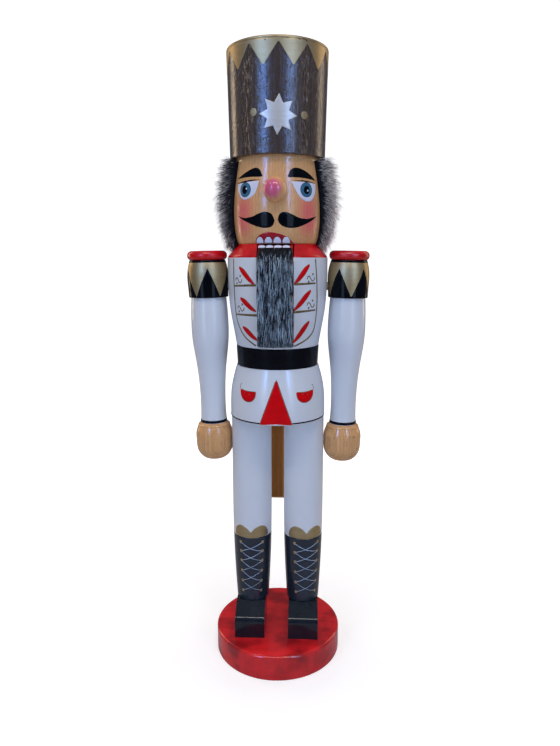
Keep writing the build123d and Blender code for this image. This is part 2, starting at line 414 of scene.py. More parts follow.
# A sleeve all round the piece between two edges; low and high are in mm at evenly spaced angles.
def paintBand(pot, surface, low, high, lift=0.3):
    low, high = np.broadcast_arrays(np.array(low, float), np.array(high, float))
    count = len(low)
    angle = np.linspace(0, 2 * math.pi, count, endpoint=False)
    steps = max(5, int(np.max(high - low) / 4))
    v = np.unique(np.concatenate([np.linspace(0, 1, steps), [0.02, 0.04, 0.06, 0.98]]))
    height = low[:, None] + v[None, :] * (high - low)[:, None]
    reach = np.clip(np.minimum(v, 1 - v)[None, :] * (high - low)[:, None] / roundEdge, 0, 1)
    radius = radiusAt(surface, height) / mm
    layGrid(pot, surface, angle[:, None] * radius, height, lift, reach, closeRows=True)


# Height of a saw edge at even angles: phase is the angle in degrees of a high tip.
def zigzag(teeth, phase, low, high, perSide=10):
    count = teeth * perSide * 2
    place = (np.arange(count) / count * teeth - phase / 360 * teeth) % 1
    return low + (high - low) * np.abs(1 - 2 * place)


# Turns each pot of paint into one piece, with its material and body.
def finishPots(looks):
    for pot, (body, slot, material) in looks.items():
        held = paintPots[pot]
        piece = meshObject(pot, np.concatenate(held["points"]), np.concatenate(held["faces"]))
        outwardNormals(piece)
        piece.data.materials.append(material)
        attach(piece, body)
    print("paint:", len(looks), "pieces")


# Shader helpers
def setInputs(tree, node, values):
    for key, value in values.items():
        if isinstance(value, bpy.types.NodeSocket):
            tree.links.new(value, node.inputs[key])
        else:
            node.inputs[key].default_value = value
    return node


def addNode(tree, kind, values=None, **settings):
    node = tree.nodes.new(kind)
    for key, value in settings.items():
        setattr(node, key, value)
    return setInputs(tree, node, values or {})


def newGroup(name, inputs, outputs):
    group = bpy.data.node_groups.new(name, "ShaderNodeTree")
    for label, kind, value in inputs:
        socket = group.interface.new_socket(label, in_out="INPUT", socket_type="NodeSocket" + kind)
        if value is not None:
            socket.default_value = value
    for label, kind in outputs:
        group.interface.new_socket(label, in_out="OUTPUT", socket_type="NodeSocket" + kind)
    return group, group.nodes.new("NodeGroupInput"), group.nodes.new("NodeGroupOutput")


def scaled(tree, vector, by):
    return addNode(tree, "ShaderNodeVectorMath", {0: vector, 1: by}, operation="MULTIPLY").outputs[0]


def noise(tree, vector, scale, detail=3.0, roughness=0.55):
    return addNode(tree, "ShaderNodeTexNoise", {"Vector": vector, "Scale": scale, "Detail": detail,
                                                "Roughness": roughness}).outputs["Fac"]


def ramp(tree, value, low, high, toLow=0.0, toHigh=1.0):
    return addNode(tree, "ShaderNodeMapRange", {"Value": value, "From Min": low, "From Max": high,
                                                "To Min": toLow, "To Max": toHigh}).outputs[0]


def calc(tree, operation, a, b):
    return addNode(tree, "ShaderNodeMath", {0: a, 1: b}, operation=operation).outputs[0]


def plus(tree, a, b):
    return calc(tree, "ADD", a, b)


def times(tree, a, b):
    return calc(tree, "MULTIPLY", a, b)


def rgba(colour):
    return colour if isinstance(colour, bpy.types.NodeSocket) else (*colour, 1)


def mixColour(tree, factor, a, b):
    node = addNode(tree, "ShaderNodeMix", data_type="RGBA")
    setInputs(tree, node, {"Factor": factor, "A": rgba(a), "B": rgba(b)})
    return node.outputs["Result"]


# A material with its Principled shader, whose even values are set on its own sockets.
def newMaterial(name, **fixed):
    material = bpy.data.materials.new(name)
    material.use_nodes = True
    tree = material.node_tree
    shader = tree.nodes["Principled BSDF"]
    for key, value in fixed.items():
        shader.inputs[key.replace("_", " ")].default_value = value
    coords = tree.nodes.new("ShaderNodeTexCoord").outputs["Object"]
    return material, tree, shader, coords


# Joins changing values to the shader. depth is the height's size in mm.
def wire(tree, shader, colour=None, roughness=None, height=None, depth=0.1):
    if colour:
        tree.links.new(colour, shader.inputs["Base Color"])
    if roughness:
        tree.links.new(roughness, shader.inputs["Roughness"])
    if height:
        bump = addNode(tree, "ShaderNodeBump", {"Height": height, "Distance": depth * mm, "Strength": 1.0})
        tree.links.new(bump.outputs[0], shader.inputs["Normal"])


# Grain of turned wood: saw-shaped growth rings round a far pith, long fibres, short pores and a few
# pits.
def makeWoodGroup():
    group, given, result = newGroup("woodGrain", [
        ("Coordinates", "Vector", None), ("Pith", "Vector", (0.14, 0.1, 0)), ("Light Wood", "Color", None),
        ("Dark Wood", "Color", None), ("Ring Scale", "Float", 60), ("Ring Depth", "Float", 0.5),
        ("Pore Depth", "Float", 0.6), ("Pits", "Float", 1.0), ("Ripple", "Float", 0.3),
        ("Gloss", "Float", 0.15)],
        [("Color", "Color"), ("Height", "Float"), ("Roughness", "Float")])
    where = given.outputs["Coordinates"]
    off = addNode(group, "ShaderNodeVectorMath", {0: where, 1: given.outputs["Pith"]},
                  operation="ADD").outputs[0]
    flat = scaled(group, off, (1, 1, 0.09))
    rings = addNode(group, "ShaderNodeTexWave", {
        "Vector": flat, "Scale": given.outputs["Ring Scale"], "Distortion": 2.2, "Detail": 3.0,
        "Detail Scale": 0.35}, wave_type="RINGS", rings_direction="Z", wave_profile="SAW").outputs["Fac"]
    fibres = noise(group, scaled(group, where, (900, 900, 22)), 1.0, 4.0)
    streaks = noise(group, scaled(group, where, (210, 210, 5)), 1.0, 3.0)
    pores = ramp(group, noise(group, scaled(group, where, (1300, 1300, 90)), 1.0, 2.0), 0.60, 0.70)
    spots = addNode(group, "ShaderNodeTexVoronoi", {"Vector": where, "Scale": 62.0}).outputs["Distance"]
    pits = times(group, ramp(group, spots, 0.10, 0.04), given.outputs["Pits"])
    depth = times(group, rings, given.outputs["Ring Depth"])
    shade = plus(group, times(group, streaks, 0.55), times(group, fibres, 0.35))
    shade = plus(group, calc(group, "SUBTRACT", shade, 0.22), depth)
    colour = mixColour(group, ramp(group, shade, 0.0, 1.0), given.outputs["Light Wood"],
                       given.outputs["Dark Wood"])
    dark = calc(group, "MAXIMUM", times(group, pores, given.outputs["Pore Depth"]), pits)
    colour = mixColour(group, times(group, dark, 0.75), colour, (0.03, 0.014, 0.008))
    group.links.new(colour, result.inputs["Color"])
    level = calc(group, "SUBTRACT", times(group, fibres, 0.3), dark)
    ripple = noise(group, scaled(group, where, (150, 150, 430)), 1.0, 4.0)
    level = plus(group, level, times(group, ripple, given.outputs["Ripple"]))
    group.links.new(level, result.inputs["Height"])
    rough = plus(group, given.outputs["Gloss"], times(group, streaks, 0.10))
    group.links.new(rough, result.inputs["Roughness"])
    return group


# Brushed enamel: streaks along the brush, thicker and thinner colour, and a few runs of dust.
def makeBrushGroup():
    group, given, result = newGroup("brushMarks", [
        ("Coordinates", "Vector", None), ("Brush", "Vector", (60, 60, 8)), ("Paint", "Color", None),
        ("Thin Paint", "Color", None), ("Streaks", "Float", 0.5), ("Roughness", "Float", 0.25),
        ("Patches", "Float", 0.15)],
        [("Color", "Color"), ("Height", "Float"), ("Roughness", "Float")])
    where = given.outputs["Coordinates"]
    along = addNode(group, "ShaderNodeVectorMath", {0: where, 1: given.outputs["Brush"]},
                    operation="MULTIPLY").outputs[0]
    wide = noise(group, along, 1.0, 2.0)
    fine = noise(group, along, 7.0, 4.0, 0.65)
    cloud = noise(group, where, 22.0, 2.0)
    streak = plus(group, times(group, wide, 0.6), times(group, fine, 0.4))
    amount = times(group, ramp(group, streak, 0.38, 0.72), given.outputs["Streaks"])
    patch = times(group, ramp(group, cloud, 0.48, 0.68), given.outputs["Patches"])
    amount = plus(group, amount, patch)
    colour = mixColour(group, amount, given.outputs["Paint"], given.outputs["Thin Paint"])
    group.links.new(colour, result.inputs["Color"])
    group.links.new(streak, result.inputs["Height"])
    rough = plus(group, given.outputs["Roughness"], times(group, fine, 0.05))
    group.links.new(rough, result.inputs["Roughness"])
    return group


woodGrain = makeWoodGroup()
brushMarks = makeBrushGroup()


def useGroup(tree, group, values):
    return addNode(tree, "ShaderNodeGroup", values, node_tree=group)


# Materials
enamels = {
    # look: material, colour, colour where the paint is thin, and how its brushwork differs
    "white": ("whiteLacquer", (0.75, 0.775, 0.81), (0.70, 0.725, 0.775),
              {"brush": (14, 14, 5), "roughness": 0.13, "depth": 0.10}),
    "red": ("redEnamel", (0.78, 0.004, 0.008), (0.50, 0.003, 0.006),
            {"brush": (40, 40, 160), "streaks": 0.6, "depth": 0.20, "specular": 0.08}),
    "thickRed": ("thickRedEnamel", (0.74, 0.004, 0.008), (0.22, 0.003, 0.008),
                 {"brush": (34, 34, 120), "streaks": 0.35, "roughness": 0.08, "depth": 0.9, "specular": 0.5,
                  "patches": 0.6}),
    "lipRed": ("lipEnamel", (0.44, 0.008, 0.020), (0.24, 0.004, 0.012),
               {"brush": (40, 40, 160), "streaks": 0.6, "depth": 0.10, "specular": 0.3}),
    "baseRed": ("baseRedEnamel", (0.80, 0.020, 0.024), (0.34, 0.010, 0.014),
                {"brush": (14, 60, 24), "roughness": 0.06, "depth": 0.20, "specular": 0.5, "patches": 0.8}),
    "black": ("blackEnamel", (0.0015, 0.0022, 0.004), (0.005, 0.007, 0.012),
              {"brush": (30, 30, 60), "streaks": 0.6, "roughness": 0.07, "specular": 0.10}),
    "bootBlack": ("bootEnamel", (0.014, 0.021, 0.034), (0.030, 0.040, 0.055),
                  {"brush": (40, 40, 12), "streaks": 0.7, "roughness": 0.11, "depth": 0.12}),
    "footBlack": ("footEnamel", (0.005, 0.009, 0.015), (0.018, 0.026, 0.036),
                  {"brush": (40, 40, 12), "streaks": 0.6, "roughness": 0.11, "depth": 0.12}),
    "toothWhite": ("toothEnamel", (0.76, 0.77, 0.90), (0.64, 0.66, 0.84), {"brush": (90, 90, 40)}),
    "eyeBlue": ("eyeEnamel", (0.055, 0.20, 0.34), (0.018, 0.06, 0.10),
                {"brush": (200, 200, 200), "streaks": 0.7}),
    "laceBlue": ("laceEnamel", (0.52, 0.64, 0.84), (0.24, 0.33, 0.48),
                 {"brush": (90, 90, 90), "streaks": 0.9}),
    "goldLine": ("goldLinePaint", (0.24, 0.165, 0.07), (0.04, 0.028, 0.018),
                 {"brush": (160, 160, 160), "streaks": 0.9}),
    # The star is the hat's gold paint, made pale and grey here as painted reflection of pale light on its
    # front.
    "starGoldSheen": ("starPaint", (0.66, 0.63, 0.56), (0.52, 0.49, 0.43),
                   {"brush": (30, 30, 260), "streaks": 0.7, "roughness": 0.34, "depth": 0.08,
                    "specular": 0.5, "metallic": 0.25}),
}


def enamel(name, paint, thin, brush=(60, 60, 8), streaks=0.5, roughness=0.10, depth=0.05, specular=0.4,
           metallic=0.0, patches=0.15):
    material, tree, shader, coords = newMaterial(name, Specular_IOR_Level=specular, Metallic=metallic)
    marks = useGroup(tree, brushMarks, {
        "Coordinates": coords, "Brush": brush, "Paint": rgba(paint), "Thin Paint": rgba(thin),
        "Streaks": streaks, "Roughness": roughness, "Patches": patches})
    wire(tree, shader, marks.outputs["Color"], marks.outputs["Roughness"], marks.outputs["Height"], depth)
    return material


def goldPaint():
    material, tree, shader, coords = newMaterial("goldPaint", Metallic=0.82)
    marks = useGroup(tree, brushMarks, {
        "Coordinates": coords, "Brush": (50, 50, 300), "Paint": rgba((0.43, 0.325, 0.165)),
        "Thin Paint": rgba((0.33, 0.215, 0.08)), "Streaks": 0.55, "Roughness": 0.42})
    flakes = noise(tree, coords, 2600.0, 2.0)
    height = plus(tree, marks.outputs["Height"], times(tree, flakes, 0.5))
    wire(tree, shader, marks.outputs["Color"], marks.outputs["Roughness"], height, 0.05)
    return material


limePale, limeDark = (0.84, 0.47, 0.205), (0.56, 0.265, 0.092)
woods = {
    # pale and dark wood, where the pith lies, and how it differs from the usual grain
    "headWood": (limePale, limeDark, (0.16, 0.07, 0),
                 {"rings": 70, "ringDepth": 0.26, "pits": 0.7, "ripple": 0.6}),
    "noseWood": (limePale, limeDark, (0.1, 0.1, 0),
                 {"rings": 70, "ringDepth": 0.25, "poreDepth": 0.3, "pits": 0.4, "ripple": 0.4,
                  "gloss": 0.06, "depth": 0.10}),
    "fistWood": (limePale, limeDark, (0.05, 0.13, 0),
                 {"rings": 75, "ringDepth": 0.40, "poreDepth": 0.7, "ripple": 0.4, "gloss": 0.08}),
    "hatWood": ((0.100, 0.068, 0.052), (0.006, 0.005, 0.004), (0.15, 0.06, 0),
                {"rings": 38, "ringDepth": 0.30, "poreDepth": 0.9, "pits": 0.3, "ripple": 1.8,
                 "gloss": 0.07, "depth": 0.32, "specular": 0.62}),
    "leverWood": ((0.64, 0.27, 0.025), (0.28, 0.10, 0.008), (0.02, 0.3, 0),
                  {"rings": 40, "pits": 0.2, "gloss": 0.2}),
    "dowelWood": ((0.62, 0.45, 0.27), (0.45, 0.30, 0.16), (0.02, 0.02, 0),
                  {"rings": 90, "ringDepth": 0.3, "poreDepth": 0.4, "pits": 0, "ripple": 0.2, "gloss": 0.5}),
}


def turnedWood(name, pale, dark, pith, rings=60, ringDepth=0.5, poreDepth=0.6, pits=1.0, ripple=0.3,
               gloss=0.10, depth=0.12, specular=0.45):
    material, tree, shader, coords = newMaterial(name, Specular_IOR_Level=specular)
    grain = useGroup(tree, woodGrain, {
        "Coordinates": coords, "Pith": pith, "Light Wood": rgba(pale), "Dark Wood": rgba(dark),
        "Ring Scale": rings, "Ring Depth": ringDepth, "Pore Depth": poreDepth, "Pits": pits,
        "Ripple": ripple, "Gloss": gloss})
    wire(tree, shader, grain.outputs["Color"], grain.outputs["Roughness"], grain.outputs["Height"], depth)
    return material


sprays = {
    # each spot's place, as shares of the head's height and half width, and its reach in mm
    "cheekSpots": ((0.41, 0.70, 29), (0.225, 0.73, 28)),
    "cheekAmount": 0.72, "cheekPink": (0.82, 0.10, 0.145),
    "noseReach": (8, 20), "noseAmount": 0.9, "nosePink": (0.66, 0.085, 0.22),      # mm from the spot
    "noseSpot": (-0.28, 1.0),       # share of the nose's half width, mm above its middle
}


# Sprays a spot of colour on a finished wood: it fades with the distance from the spot, between two
# distances in mm.
def sprayOn(material, spot, near, far, amount, pink):
    tree = material.node_tree
    base = tree.nodes["Principled BSDF"].inputs["Base Color"]
    coords = tree.nodes["Texture Coordinate"].outputs["Object"]
    away = addNode(tree, "ShaderNodeVectorMath", {0: coords, 1: spot}, operation="DISTANCE")
    cloud = addNode(tree, "ShaderNodeMapRange", {
        "Value": away.outputs["Value"], "From Min": near * mm, "From Max": far * mm,
        "To Min": amount, "To Max": 0.0}, interpolation_type="SMOOTHSTEP")
    tree.links.new(mixColour(tree, cloud.outputs[0], base.links[0].from_socket, pink), base)


def sprayFace(materials):
    low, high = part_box("head")
    for side in (-1, 1):
        for up, out, reach in sprays["cheekSpots"]:
            spot = (side * out * high.x, math.sqrt(1 - out ** 2) * low.y, low.z + up * (high.z - low.z))
            sprayOn(materials["headWood"], spot, 0, reach, sprays["cheekAmount"], sprays["cheekPink"])
    low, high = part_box("nose")
    across, up = sprays["noseSpot"]
    spot = (across * high.x, low.y, (low.z + high.z) / 2 + up * mm)
    sprayOn(materials["noseWood"], spot, *sprays["noseReach"], sprays["noseAmount"], sprays["nosePink"])


def steelMaterial():
    material, tree, shader, coords = newMaterial("screwSteel", Metallic=1.0)
    scratch = noise(tree, scaled(tree, coords, (900, 900, 120)), 1.0, 3.0)
    wire(tree, shader, mixColour(tree, scratch, (0.55, 0.55, 0.56), (0.38, 0.37, 0.36)),
         ramp(tree, scratch, 0, 1, 0.25, 0.5), scratch, 0.02)
    return material


def floorMaterial():
    material, tree, shader, coords = newMaterial("studioFloor", Base_Color=(*studio["floorTone"], 1),
                                                 Roughness=0.7, Specular_IOR_Level=0.1,
                                                 Emission_Strength=1.0)
    away = addNode(tree, "ShaderNodeVectorMath", {0: coords}, operation="LENGTH").outputs["Value"]
    near, far = studio["glowReach"]
    glow = ramp(tree, away, near, far, studio["glowNear"], studio["glowFar"])
    path = tree.nodes.new("ShaderNodeLightPath")
    tree.links.new(times(tree, glow, path.outputs["Is Camera Ray"]), shader.inputs["Emission Color"])
    return material


furs = {
    # colour at the root and at the tip, the stretch along a strand and the strand shades over which it pales
    "hairFur": ((0.008, 0.008, 0.010), (1.0, 0.95, 0.90), (0.38, 0.80), (0.47, 0.67)),
    # The beard's pale tips are tinted blue: painted reflection of blue light on pale fur.
    "beardFur": ((0.006, 0.008, 0.012), (0.66, 0.84, 1.0), (0.12, 0.42), (0.54, 0.63)),
}


# Fur by strand: "along" runs from root to tip, and "tone" is each strand's own shade, from dark to pale.
def furMaterial(name, rootTone, tipTone, reach, shades):
    material, tree, shader, coords = newMaterial(name, Roughness=0.5, Specular_IOR_Level=0.3)
    along = addNode(tree, "ShaderNodeAttribute", attribute_name="along").outputs["Fac"]
    tone = addNode(tree, "ShaderNodeAttribute", attribute_name="tone").outputs["Fac"]
    pale = times(tree, ramp(tree, along, *reach), ramp(tree, tone, *shades))
    wire(tree, shader, mixColour(tree, pale, rootTone, tipTone))
    return material


def peltMaterial():
    material, tree, shader, coords = newMaterial("furBacking", Roughness=0.95, Specular_IOR_Level=0.05)
    weave = noise(tree, coords, 900.0, 2.0)
    wire(tree, shader, mixColour(tree, weave, (0.006, 0.006, 0.008), (0.018, 0.017, 0.02)), None, weave, 0.2)
    return material


def makeMaterials():
    made = {"gold": goldPaint(), "steel": steelMaterial(), "furBacking": peltMaterial()}
    for look, (name, paint, thin, brushwork) in enamels.items():
        made[look] = enamel(name, paint, thin, **brushwork)
    for name, (pale, dark, pith, grain) in woods.items():
        made[name] = turnedWood(name, pale, dark, pith, **grain)
    for name, tones in furs.items():
        made[name] = furMaterial(name, *tones)
    sprayFace(made)
    return made


looksOfNodes = {
    "white": ["skirt_block", "torso", "left_leg", "right_leg", "left_arm", "right_arm"],
    "thickRed": ["collar", "left_shoulder_cap", "right_shoulder_cap", "jaw_block"],
    "baseRed": ["base_disc"],
    "black": ["belt_block"],
    "footBlack": ["left_foot", "right_foot"],
    "gold": ["left_shoulder_cuff", "right_shoulder_cuff"],
    "headWood": ["head"],
    "noseWood": ["nose"],
    "fistWood": ["left_fist", "right_fist"],
    "hatWood": ["hat"],
    "leverWood": ["jaw_lever"],
    "dowelWood": ["hip_dowels", "waist_dowel", "neck_dowels", "hat_dowel", "shoulder_dowels",
                  "sleeve_dowels", "wrist_dowels"],
    "steel": ["leg_screws", "toe_screws", "jaw_pin", "lever_screws"],
}


def dressNodes(materials):
    for look, names in looksOfNodes.items():
        for name in names:
            mesh = nodes[name].data
            mesh.materials.clear()
            mesh.materials.append(materials[look])
    print("nodes dressed:", sum(len(names) for names in looksOfNodes.values()))


# Painted hat
hatPaint = {
    "teeth": 11, "toothTurn": 4.0, "tipLow": 108.0, "tipHigh": 138.0,      # gold crown, degrees and mm
    "star": (4.4, 48.5), "starPoints": 8, "starOuter": 26.0, "starInner": 15.5, "starTurn": -3.0,
    "dots": ((-29.8, 52.7), (41.5, 49.2)), "dotSize": 10.0, "rim": 7.0,
    "chips": ((-13, 3.4, 5.0), (-11, 6.8, 2.6), (29, 3.4, 8.0), (34, 5.6, 3.0),
              (25.5, 4.6, 2.4)),        # degrees, mm down, mm long
}


def paintHat(hat):
    top = (hat["top"] - hat["bottom"]) / mm
    edge = zigzag(hatPaint["teeth"], hatPaint["toothTurn"], hatPaint["tipLow"], hatPaint["tipHigh"])
    paintBand("hatGold", hat, edge, np.full(len(edge), top - 3.0), 0.25)
    rim = np.interp(hat["top"] - 4 * mm, hat["levels"], hat["radii"]) / mm
    turnedRing("hatGold", hat, [(rim + 0.25, top - 4.2), (rim + 0.27, top - 1.6), (rim - 0.15, top - 0.3),
                                (rim - 1.2, top + 0.22), (rim - hatPaint["rim"], top + 0.22),
                                (rim - hatPaint["rim"], top - 0.3), (rim - 1.6, top - 0.5),
                                (rim - 0.6, top - 4.2)])
    for turn, down, long in hatPaint["chips"]:
        across = math.radians(turn) * rim
        paintStroke("hatChips", hat, [(across, top - down), (across + long / 2, top - down + 1.1),
                                      (across + long, top - down - 0.6)], [1.0, 2.0, 0.7], 0.36)
    tips = 2 * hatPaint["starPoints"]
    turn = np.radians(hatPaint["starTurn"]) + np.arange(tips) / tips * 2 * math.pi
    reach = np.where(np.arange(tips) % 2 == 0, hatPaint["starOuter"], hatPaint["starInner"])
    corners = np.array(hatPaint["star"]) + np.stack([reach * np.cos(turn), reach * np.sin(turn)], axis=1)
    ahead = np.roll(corners, -1, axis=0)
    share = np.linspace(0, 1, 6, endpoint=False)[None, :, None]
    outline = (corners[:, None, :] + share * (ahead - corners)[:, None, :]).reshape(-1, 2)
    paintBlob("hatStar", hat, outline, np.array(hatPaint["star"]), 0.28)
    for dot in hatPaint["dots"]:
        paintOval("hatGold", hat, np.array(dot), hatPaint["dotSize"], hatPaint["dotSize"])


# Painted face, in mm round from the middle of the face and mm above the chin
facePaint = {
    "browLeft": ([(-66, 89), (-50, 94.6), (-38, 99), (-28, 101.4), (-21.5, 98.6), (-18.6, 92)],
                 [(-66, 89), (-38, 89.4), (-18.6, 89), (-18.6, 92)]),
    "browRight": ([(18.2, 91.5), (21.4, 98), (28, 101), (37, 100), (49, 95.7), (66.3, 86.2)],
                  [(18.2, 91.5), (18, 88.2), (33, 88), (48, 87.4), (66.3, 86.2)]),
    "lidLeft": ([(-69, 83), (-48, 85), (-34, 85.6), (-20.5, 85)], [(-69, 83), (-48, 82.8), (-20.5, 85)]),
    "lidRight": ([(22, 83.4), (45, 84.8), (66, 81.8)], [(22, 83.4), (45, 83), (66, 81.8)]),
    "eyeLeft": ([(-64.5, 81.6), (-50, 83.3), (-38, 83.8), (-22.6, 83.4)],
                [(-64.5, 81.6), (-60.4, 70), (-54.6, 62.3), (-45.9, 59.5), (-37, 61.3), (-28.3, 67.8),
                 (-22.6, 83.4)]),
    "eyeRight": ([(22.6, 82.2), (40.8, 83.2), (54, 83), (65.4, 81.6)],
                 [(22.6, 82.2), (31, 67.6), (38.3, 60), (48.2, 56.4), (58, 60), (64.4, 69.4), (65.4, 81.6)]),
    "irisLeft": (-46.0, 73.0), "irisRight": (46.2, 72.6), "irisSize": (20.5, 19.4),
    "pupilLeft": (-46.8, 73.0), "pupilRight": (46.4, 72.2), "pupilSize": (11.0, 12.0),
    "glintLeft": (-43.2, 74.2), "glintRight": (48.2, 71.6), "glintSize": (3.2, 3.6),
    "moustacheLeft": ([(-65.4, 39.4), (-49, 35.5), (-34.3, 36.6), (-24.6, 40.2), (-17, 42.4), (-9.8, 42.2),
                       (-4, 38.6), (-0.6, 31)],
                      [(-65.4, 39.4), (-55.2, 34.4), (-43.8, 29.6), (-31.5, 24.8), (-19.6, 21.5), (-11, 21),
                       (-4.1, 23.4), (-0.6, 31)]),
    "moustacheRight": ([(3.4, 31.5), (5.4, 38.6), (10, 42), (16.4, 42), (25.8, 38.4), (34.5, 35), (47, 33.8),
                        (58.3, 36), (69.4, 38.4)],
                       [(3.4, 31.5), (6.4, 26.4), (13, 22.2), (22.3, 20.8), (33.3, 22.4), (45.5, 26.6),
                        (58.3, 32.2), (69.4, 38.4)]),
    "lip": ([(-29.5, 0.6), (-27.5, 7.6), (-20.9, 12.8), (-12.3, 15.3), (-2.9, 15.2), (7.3, 13), (16.5, 9.3),
             (23, 3.8), (26.5, 0.6)],
            [(-29.5, 0.6), (0, 0.4), (26.5, 0.6)]),
    "teeth": (-22.2, -9.8, 2.6, 15.2), "toothSize": (10.6, 9.6), "toothHeight": 4.2,
}
jawTeeth = {
    "teeth": (-19.6, -8.0, 3.6, 15.2), "size": (11.0, 5.2), "below": 3.4,      # mm below the jaw's top
    "gum": ((-22.5, 5.6), (22.5, 5.6)),
}


def paintFace(head):
    for side in ("Left", "Right"):
        for part, lift in (("brow", 0.4), ("moustache", 0.45), ("lid", 0.5)):
            paintLeaf("faceBlack", head, *facePaint[part + side], lift)
        paintLeaf("eyeWhites", head, *facePaint["eye" + side], 0.28)
        iris, pupil = np.array(facePaint["iris" + side]), np.array(facePaint["pupil" + side])
        paintOval("irises", head, iris, *facePaint["irisSize"], 0.38)
        paintOval("faceBlack", head, pupil, *facePaint["pupilSize"], 0.48)
        paintStroke("faceBlack", head, oval(iris, *facePaint["irisSize"]), 0.9, 0.44, count=60, closed=True)
        paintOval("eyeWhites", head, np.array(facePaint["glint" + side]), *facePaint["glintSize"], 0.6, 20)
    paintLeaf("lips", head, *facePaint["lip"], 0.3)
    for across in facePaint["teeth"]:
        wide, tall = facePaint["toothSize"]
        top = [(across - wide / 2, 0.7), (across - wide / 2, 4.5), (across - 2.6, 8.6), (across, tall - 0.4),
               (across + 2.6, 8.6), (across + wide / 2, 4.5), (across + wide / 2, 0.7)]
        bottom = [(across - wide / 2, 0.7), (across, 0.5), (across + wide / 2, 0.7)]
        paintLeaf("upperTeeth", head, top, bottom, 0.45, 30)
        paintStroke("toothOutlines", head, top, 0.8, 0.42)


def paintJaw(jaw):
    top = (jaw["top"] - jaw["bottom"]) / mm
    ends = [(across, top - below) for across, below in jawTeeth["gum"]]
    paintStroke("gum", jaw, ends, 2.6, 0.25)
    # A black line along the jaw's top edge, where it meets the head: painted shade of the seam. The outlines
    # round the lower teeth below are real paint.
    paintStroke("jawOutlinesAndSeamShade", jaw, [(across, top - 0.7) for across, below in jawTeeth["gum"]], 1.6, 0.35)
    for across in jawTeeth["teeth"]:
        middle = np.array((across, top - jawTeeth["below"]))
        paintOval("lowerTeeth", jaw, middle, *jawTeeth["size"], 0.4, 28)
        paintStroke("jawOutlinesAndSeamShade", jaw, oval(middle, *jawTeeth["size"], 24), 0.6, 0.36, count=40, closed=True)


# Painted jacket, in degrees from the middle and mm above the piece's bottom
jacketPaint = {
    "edgeLeft": [(-54.8, 128), (-55.0, 89), (-56.0, 47), (-52.8, 30.5), (-44.4, 16.7), (-26.4, 4.2)],
    "edgeRight": [(48.8, 128), (52, 93), (54.8, 56), (54.9, 28), (44.9, 14), (24.6, 4)],
    "braids": (((-54.6, 89.2), (-20.6, 91.4)), ((-55.4, 48.5), (-20.6, 49.1)),
               ((20.6, 92.6), (50.1, 93.4)), ((20.6, 53.7), (52.7, 55.3))),
    "slashes": (((-44.4, 116.3), (-23, 92)), ((-44.4, 72.9), (-22, 54)), ((-45.9, 31.3), (-22.6, 12)),
                ((40.2, 119.6), (21, 92.6)), ((43.2, 84.1), (20.8, 55.4)), ((44.4, 39.9), (22.6, 9))),
    "scrolls": ((-45.4, 98.4), (-44.4, 58.4), (42.4, 101), (43.8, 64)),
    "wave": ((-7, -2.4), (-6, 1.6), (-2.8, 2.2), (-0.2, -1.8), (2.4, -4.4), (5.8, -2.8), (7.2, 1.4)),
    "berries": ((-4.2, -5.2), (3.4, 5.0)),      # mm from the middle of a scroll, as the wave is
    "braidWidth": 2.5, "slashWidth": 7.4,
}
skirtPaint = {
    "panel": ((1.2, 68), (-18.3, 0.6), (19.8, 0.6)),       # apex, left foot, right foot
    "pockets": (((-48, 49.6), (-24, 48.4), (-35.4, 32.6)), ((25.8, 48.2), (50.6, 48.8), (38, 32.2))),
    "hem": 2.6, "hemLength": 206,       # mm up, and round each side to the back
}


# Changes places given in degrees and mm into mm round the surface and mm.
def roundBy(surface, points):
    points = np.array(points, float)
    radius = radiusAt(surface, points[:, 1]) / mm
    return np.column_stack([np.radians(points[:, 0]) * radius, points[:, 1]])


def paintJacket(torso):
    for edge in ("edgeLeft", "edgeRight"):
        paintStroke("jacketLines", torso, roundBy(torso, jacketPaint[edge]), jacketPaint["braidWidth"], 0.3)
    for ends in jacketPaint["braids"]:
        thick = jacketPaint["braidWidth"] * np.array([1.0, 1.5])
        if ends[0][0] > 0:
            thick = thick[::-1]
        paintStroke("jacketLines", torso, roundBy(torso, ends), thick, 0.28)
    for ends in jacketPaint["slashes"]:
        outer, inner = roundBy(torso, ends)
        line = [outer + share * (inner - outer) for share in (0, 0.3, 0.68, 1)]
        line[1] = line[1] + (0, 0.6)
        line[2] = line[2] - (0, 0.5)
        wide = jacketPaint["slashWidth"]
        paintStroke("jacketLines", torso, line, [3.2, wide + 0.9, 0.95 * wide, 2.6], 0.22)
        paintStroke("jacketRed", torso, line, [2.0, wide - 0.5, 0.95 * wide - 1.2, 1.2], 0.42)
    for place in jacketPaint["scrolls"]:
        x, y = roundBy(torso, [place])[0]
        wave = [(x + dx, y + dy) for dx, dy in jacketPaint["wave"]]
        paintStroke("jacketLines", torso, wave, 1.7, 0.25)
        for dx, dy in jacketPaint["berries"]:
            paintOval("jacketLines", torso, np.array((x + dx, y + dy)), 3.2, 3.4, 0.3, 18)


